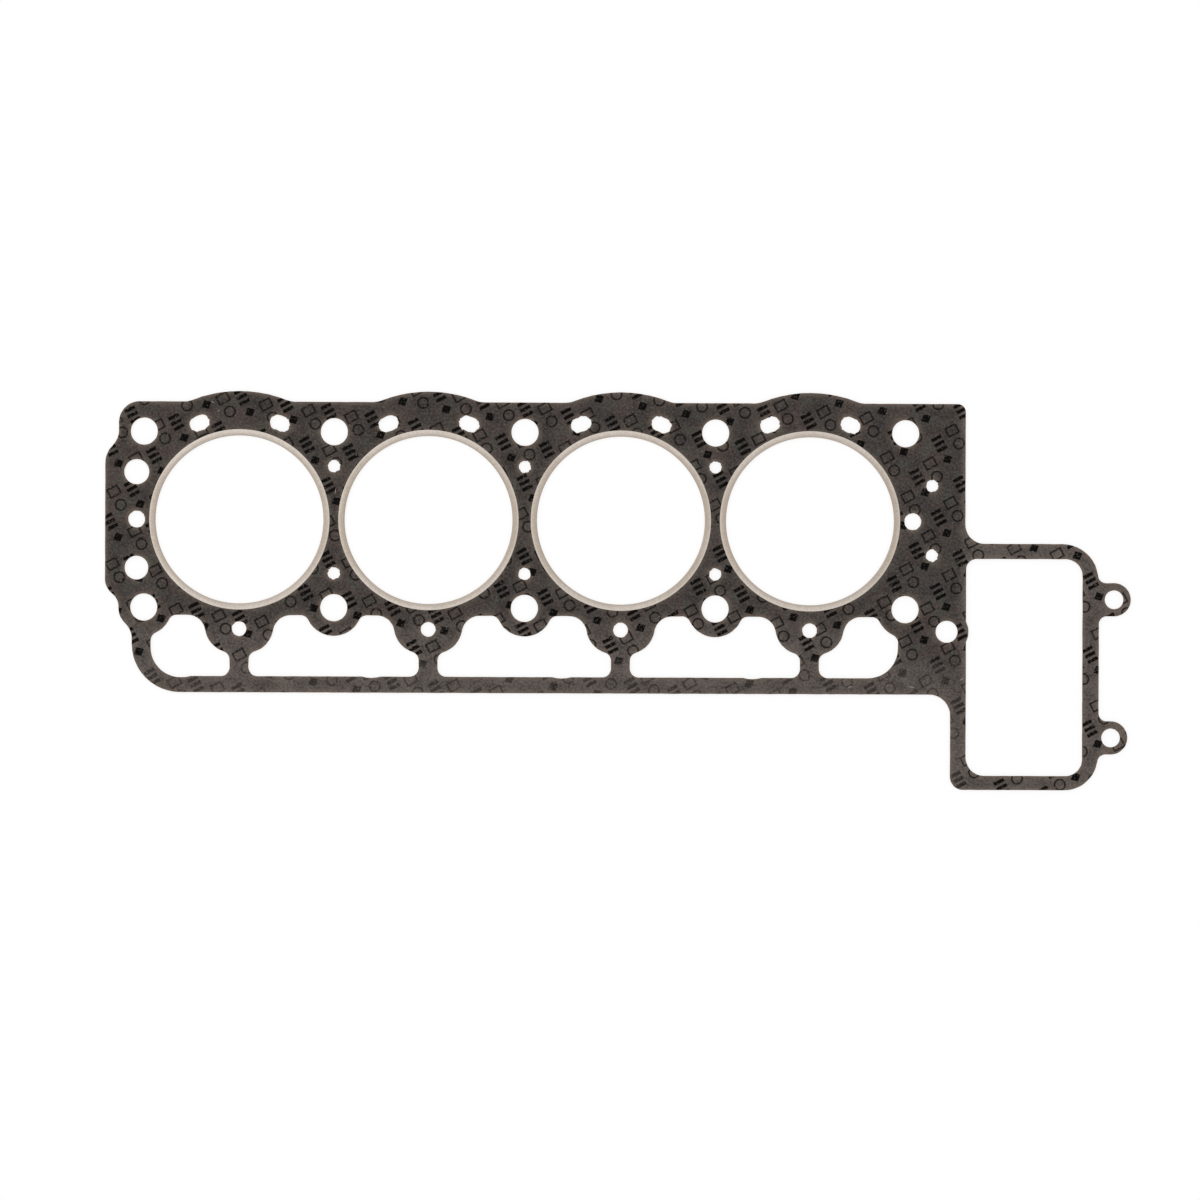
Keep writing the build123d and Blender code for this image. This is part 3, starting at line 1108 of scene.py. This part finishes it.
@dataclass
class BoreRings:
    """The four folded rings that line the bores and grip the sheet from both sides.

    Sizes are in millimetres.
    """

    nodes: tuple[str, ...] = ("fire_ring_1", "fire_ring_2", "fire_ring_3", "fire_ring_4")
    bore_mount: str = "cylinder_bore_1"
    slot: str = "ring_metal"
    name: str = "bore_ring"
    finish: RingFinish = RingFinish()
    segments: int = 192
    metal: float = 0.20
    fold: float = 0.40
    fold_steps: int = 6
    rim_flat: float = 0.3
    dish: float = 0.03
    dish_width: float = 1.1
    dish_steps: int = 4
    burr: float = 0.05
    burr_steps: int = 2
    burr_angle: float = math.radians(60)
    smooth_angle: float = math.radians(35)

    def build(self, record: dict) -> list[bpy.types.Object]:
        """Models one ring, copies it to each bore and dresses the copies.

        Args:
            record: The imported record, which states the bores.

        Returns:
            The finished rings.
        """
        mounts = {mount["name"]: mount for mount in record["mounts"]}
        bore = mounts[self.bore_mount]["dims"]["r_mm"]
        boxes = [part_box(node) for node in self.nodes]
        centres = [Vector(((low.x + high.x) / 2, (low.y + high.y) / 2, 0.0)) for low, high in boxes]
        low, high = boxes[0]
        outer = (high.x - low.x) / 2 / MM
        first = self.model(centres[0], bore, outer, low.z / MM, high.z / MM)
        rings = []
        for number, (node, centre) in enumerate(zip(self.nodes, centres), start=1):
            ring = first
            if number > 1:
                select_only(first)
                bpy.ops.object.duplicate(linked=False)
                ring = bpy.context.active_object
                bpy.ops.transform.translate(value=centre - centres[0])
                bpy.ops.object.transform_apply(location=True, rotation=False, scale=False)
            ring.name = ring.data.name = f"{self.name}_{number}"
            ring.data.materials.clear()
            ring.data.materials.append(self.finish.material(number, centre, bore, outer))
            declare(ring, node)
            rings.append(ring)
        return rings

    def section(self, bore: float, outer: float, low: float, high: float) -> list[tuple[float, float]]:
        """Lists the outer skin of the folded section, from the upper rim round to the lower one.

        Args:
            bore: The bore's radius.
            outer: The flange's outer radius.
            low: The lower flange's height.
            high: The upper flange's height.

        Returns:
            Radius and height of each point.
        """
        bend = bore + self.fold
        upper = [(outer, high), (outer - self.rim_flat, high), (bend + self.dish_width, high)]
        for step in range(1, self.dish_steps):
            share = step / self.dish_steps
            fall = self.dish * (1 - math.cos(share * math.pi)) / 2
            upper.append((bend + self.dish_width * (1 - share), high - fall))
        arc = []
        for step in range(self.fold_steps + 1):
            angle = math.radians(90 + 90 * step / self.fold_steps)
            arc.append((bend + self.fold * math.cos(angle), self.fold * math.sin(angle)))
        top = [(radius, high - self.dish - self.fold + rise) for radius, rise in arc]
        bottom = [(radius, low + self.dish + self.fold - rise) for radius, rise in reversed(arc)]
        lower = [(radius, low + high - height) for radius, height in reversed(upper)]
        return upper + top + bottom + lower

    def model(self, centre: Vector, bore: float, outer: float, low: float, high: float) -> bpy.types.Object:
        """Models a ring: a loop at the upper rim is extruded along the section and given its thickness.

        Args:
            centre: The bore's centre, in metres.
            bore: The bore's radius.
            outer: The flange's outer radius.
            low: The lower flange's height.
            high: The upper flange's height.

        Returns:
            The ring, at its place.
        """
        points = self.section(bore, outer, low, high)
        bpy.ops.object.select_all(action="DESELECT")
        start = Vector((centre.x, centre.y, high * MM))
        bpy.ops.mesh.primitive_circle_add(vertices=self.segments, radius=outer * MM, location=start)
        ring = bpy.context.active_object
        bpy.ops.object.transform_apply(location=True)
        with editing(ring, "EDGE"):
            bpy.ops.mesh.select_all(action="SELECT")
            for (radius, height), (next_radius, next_height) in zip(points, points[1:]):
                rise = Vector((0.0, 0.0, (next_height - height) * MM))
                bpy.ops.mesh.extrude_region_move(TRANSFORM_OT_translate={"value": rise})
                share = next_radius / radius
                bpy.ops.transform.resize(value=(share, share, 1.0), center_override=centre)
            bpy.ops.mesh.select_all(action="SELECT")
            bpy.ops.mesh.normals_make_consistent(inside=False)
        self.thicken(ring, centre)
        select_only(ring)
        bpy.ops.object.shade_smooth_by_angle(angle=self.smooth_angle)
        return ring

    def thicken(self, ring: bpy.types.Object, centre: Vector) -> None:
        """Gives the skin its metal on the side of the sheet, and breaks the rims' corners.

        Args:
            ring: The ring's skin.
            centre: The bore's centre, in metres.
        """
        shell = ring.modifiers.new("metal", "SOLIDIFY")
        shell.thickness = self.metal * MM
        shell.use_even_offset = True
        nearest = min(ring.data.polygons, key=lambda face: (face.center - centre).length)
        shell.offset = 1.0 if nearest.normal.dot(nearest.center - centre) > 0 else -1.0
        burr = ring.modifiers.new("burr", "BEVEL")
        burr.width = self.burr * MM
        burr.segments = self.burr_steps
        burr.limit_method = "ANGLE"
        burr.angle_limit = self.burr_angle
        select_only(ring)
        for modifier in (shell, burr):
            bpy.ops.object.modifier_apply(modifier=modifier.name)


@dataclass
class Studio:
    """A white floor, soft light from all round and from the left, and a camera straight above.

    Sizes are in metres.
    """

    floor_size: float = 14.0
    floor_drop: float = 0.02 * MM
    floor_glow: float = 0.77
    floor_colour: float = 0.24
    bounce_colour: float = 0.80
    sky_low: float = 0.66
    sky_rise: float = 0.38
    sky_lean: float = 0.08
    key_place: Vector = Vector((-1.0, 0.6, 1.5))
    key_size: float = 1.2
    key_power: float = 3.5
    aim: Vector = Vector((37.8 * MM, -39.7 * MM, 0.0))
    view_width: float = 0.600
    roll: float = math.radians(0.2)
    lens: float = 100.0
    sensor: float = 36.0

    def build(self, top: float) -> None:
        """Sets up the whole studio.

        Args:
            top: The height of the sheet's upper face.
        """
        self.lay_floor()
        self.light()
        self.place_camera(top)
        bpy.context.scene.view_settings.view_transform = "Standard"

    def lay_floor(self) -> None:
        """Lays the floor, which looks white and still takes the gasket's shadow."""
        bpy.ops.object.select_all(action="DESELECT")
        bpy.ops.mesh.primitive_plane_add(size=self.floor_size, location=(0.0, 0.0, -self.floor_drop))
        floor = bpy.context.active_object
        floor.name = "floor"
        bpy.ops.object.transform_apply(location=True)
        material, graph = new_material("white_floor")
        path = graph.add("ShaderNodeLightPath").outputs
        seen = Term(graph, path["Is Camera Ray"]).most(Term(graph, path["Is Glossy Ray"]))
        seen = seen.most(Term(graph, path["Is Transmission Ray"]))
        glow = graph.add("ShaderNodeEmission", sockets={"Color": grey(1.0), "Strength": self.floor_glow})
        faint = graph.add("ShaderNodeBsdfDiffuse", sockets={"Color": grey(self.floor_colour)})
        shown = graph.add("ShaderNodeAddShader", sockets={0: glow.outputs[0], 1: faint.outputs[0]})
        plain = graph.add("ShaderNodeBsdfDiffuse", sockets={"Color": grey(self.bounce_colour)})
        sockets = {0: seen, 1: plain.outputs[0], 2: shown.outputs[0]}
        mixed = graph.add("ShaderNodeMixShader", sockets=sockets)
        graph.add("ShaderNodeOutputMaterial", sockets={"Surface": mixed.outputs[0]})
        floor.data.materials.append(material)

    def light(self) -> None:
        """Lights the room evenly, a little more from above and from the left, where a broad lamp is."""
        world = bpy.data.worlds.new("studio")
        world.use_nodes = True
        bpy.context.scene.world = world
        graph = ShaderGraph(world.node_tree)
        x, _, z = graph.parts(graph.add("ShaderNodeTexCoord").outputs["Generated"])
        level = self.sky_low + self.sky_rise * z.most(0.0) - self.sky_lean * x
        sky = graph.add("ShaderNodeBackground", sockets={"Color": grey(1.0), "Strength": level})
        graph.add("ShaderNodeOutputWorld", sockets={"Surface": sky.outputs[0]})
        bpy.ops.object.light_add(type="AREA", location=self.key_place)
        key = bpy.context.active_object
        key.name = "key_light"
        key.rotation_euler = (self.aim - self.key_place).to_track_quat("-Z", "Y").to_euler()
        key.data.size = self.key_size
        key.data.energy = self.key_power

    def place_camera(self, top: float) -> None:
        """Places the camera straight above the gasket.

        Args:
            top: The height of the sheet's upper face.
        """
        distance = self.view_width * self.lens / self.sensor
        bpy.ops.object.camera_add(location=(self.aim.x, self.aim.y, top + distance),
                                  rotation=(0.0, 0.0, self.roll))
        camera = bpy.context.active_object
        camera.name = "camera"
        camera.data.lens = self.lens
        camera.data.sensor_width = self.sensor
        bpy.context.scene.camera = camera


def main() -> None:
    """Builds the sheet, the rings and the studio."""
    logging.basicConfig(level=logging.INFO, format="%(name)s: %(message)s")
    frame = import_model()
    sheet = PunchedSheet()
    pieces = [sheet.build(frame["nodes"]), *BoreRings().build(frame["record"])]
    for piece in pieces:
        LOG.info("%s: %d faces", piece.name, len(piece.data.polygons))
    Studio().build(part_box(sheet.node)[1].z)


if __name__ == "__main__":
    main()
